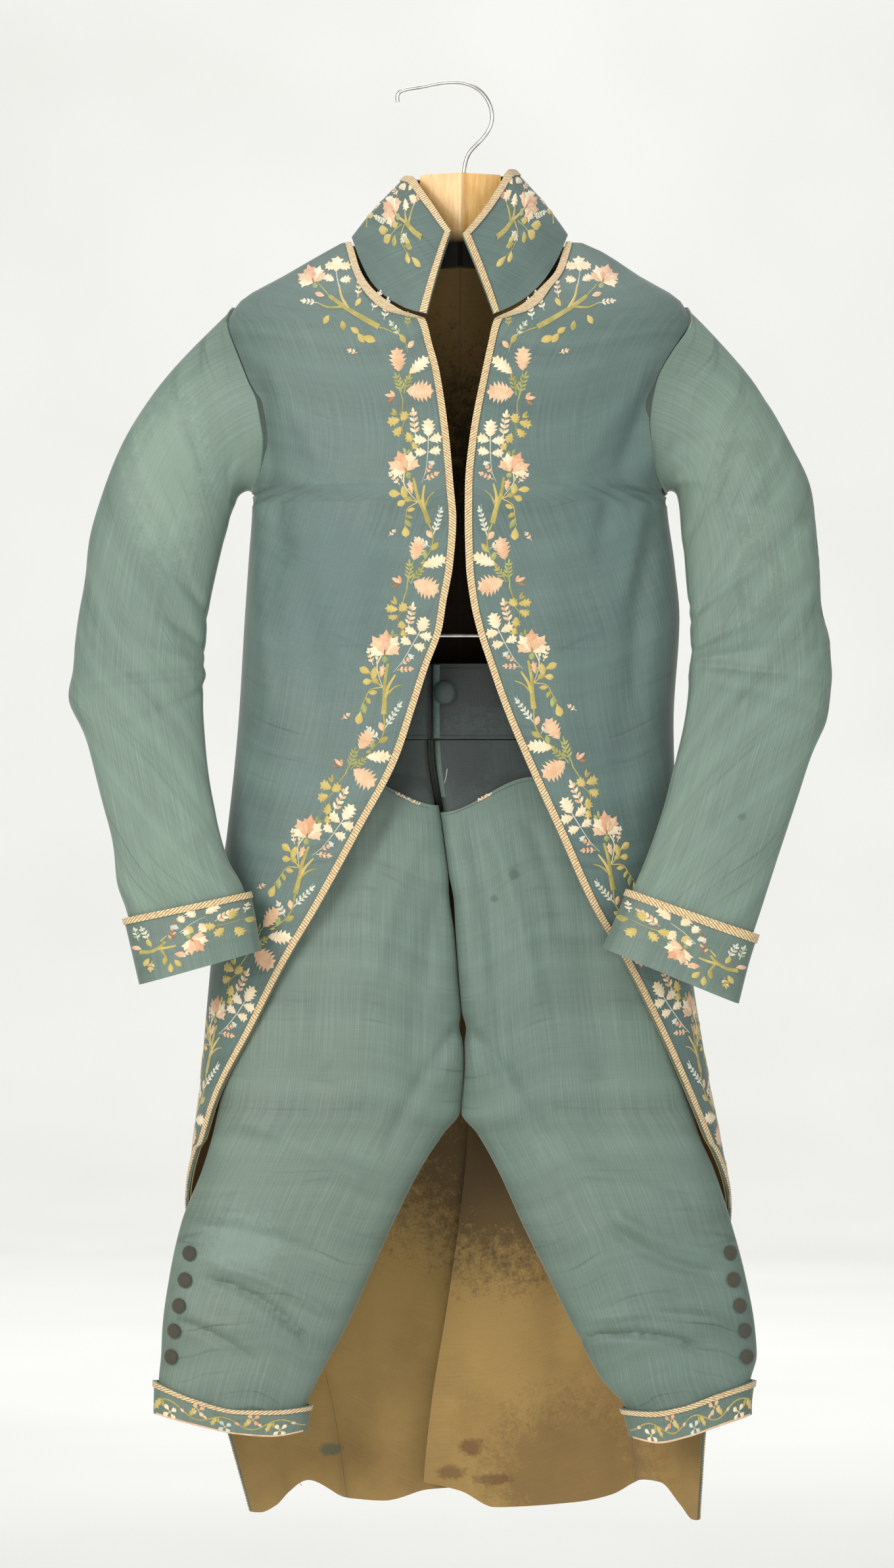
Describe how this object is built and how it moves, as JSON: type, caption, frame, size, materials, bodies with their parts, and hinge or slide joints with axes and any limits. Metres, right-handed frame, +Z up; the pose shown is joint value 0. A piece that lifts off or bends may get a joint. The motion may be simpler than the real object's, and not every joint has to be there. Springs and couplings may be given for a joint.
{
  "type": "historic suit on a hanger",
  "caption": "Silk coat with embroidered borders and knee breeches, hanging together on a hanger with a wire hook.",
  "frame": {"origin": "inside of the hook at its top, where it rests on its peg", "axes": "+Z up, +X to the viewer's right when the front is seen, +Y from the front toward the back"},
  "size_m": [0.6401, 0.2183, 1.2297],
  "materials": {
    "teal_silk": "satin",
    "sleeve_silk": "satin",
    "tan_lining": "matte",
    "cream_gold_braid": "satin",
    "dark_button_cover": "matte",
    "tan_board": "satin",
    "steel_wire": "polished"
  },
  "bodies": {
    "root": {"front_left": "teal_silk", "back_left": "teal_silk", "breeches_front_left": "teal_silk", "breeches_back_left": "teal_silk", "yoke_left": "teal_silk", "waistband_left": "teal_silk", "knee_band_left": "teal_silk", "lining_front_left": "tan_lining", "lining_back_left": "tan_lining", "sleeve_top_left": "sleeve_silk", "sleeve_under_left": "sleeve_silk", "cuff_left": "sleeve_silk", "front_braid_left": "cream_gold_braid", "neck_braid_left": "cream_gold_braid", "cuff_braid_left": "cream_gold_braid", "collar_braid_left": "cream_gold_braid", "knee_braid_left": "cream_gold_braid", "knee_button_left_1": "dark_button_cover", "knee_button_left_2": "dark_button_cover", "knee_button_left_3": "dark_button_cover", "knee_button_left_4": "dark_button_cover", "knee_button_left_5": "dark_button_cover", "clip_left": "steel_wire", "front_right": "teal_silk", "back_right": "teal_silk", "breeches_front_right": "teal_silk", "breeches_back_right": "teal_silk", "yoke_right": "teal_silk", "waistband_right": "teal_silk", "knee_band_right": "teal_silk", "lining_front_right": "tan_lining", "lining_back_right": "tan_lining", "sleeve_top_right": "sleeve_silk", "sleeve_under_right": "sleeve_silk", "cuff_right": "sleeve_silk", "front_braid_right": "cream_gold_braid", "neck_braid_right": "cream_gold_braid", "cuff_braid_right": "cream_gold_braid", "collar_braid_right": "cream_gold_braid", "knee_braid_right": "cream_gold_braid", "knee_button_right_1": "dark_button_cover", "knee_button_right_2": "dark_button_cover", "knee_button_right_3": "dark_button_cover", "knee_button_right_4": "dark_button_cover", "knee_button_right_5": "dark_button_cover", "clip_right": "steel_wire", "collar": "teal_silk", "waist_button": "teal_silk", "collar_braid_top": "cream_gold_braid", "hook": "steel_wire", "trouser_bar": "steel_wire", "hanger_board": "tan_board"}
  },
  "joints": []
}
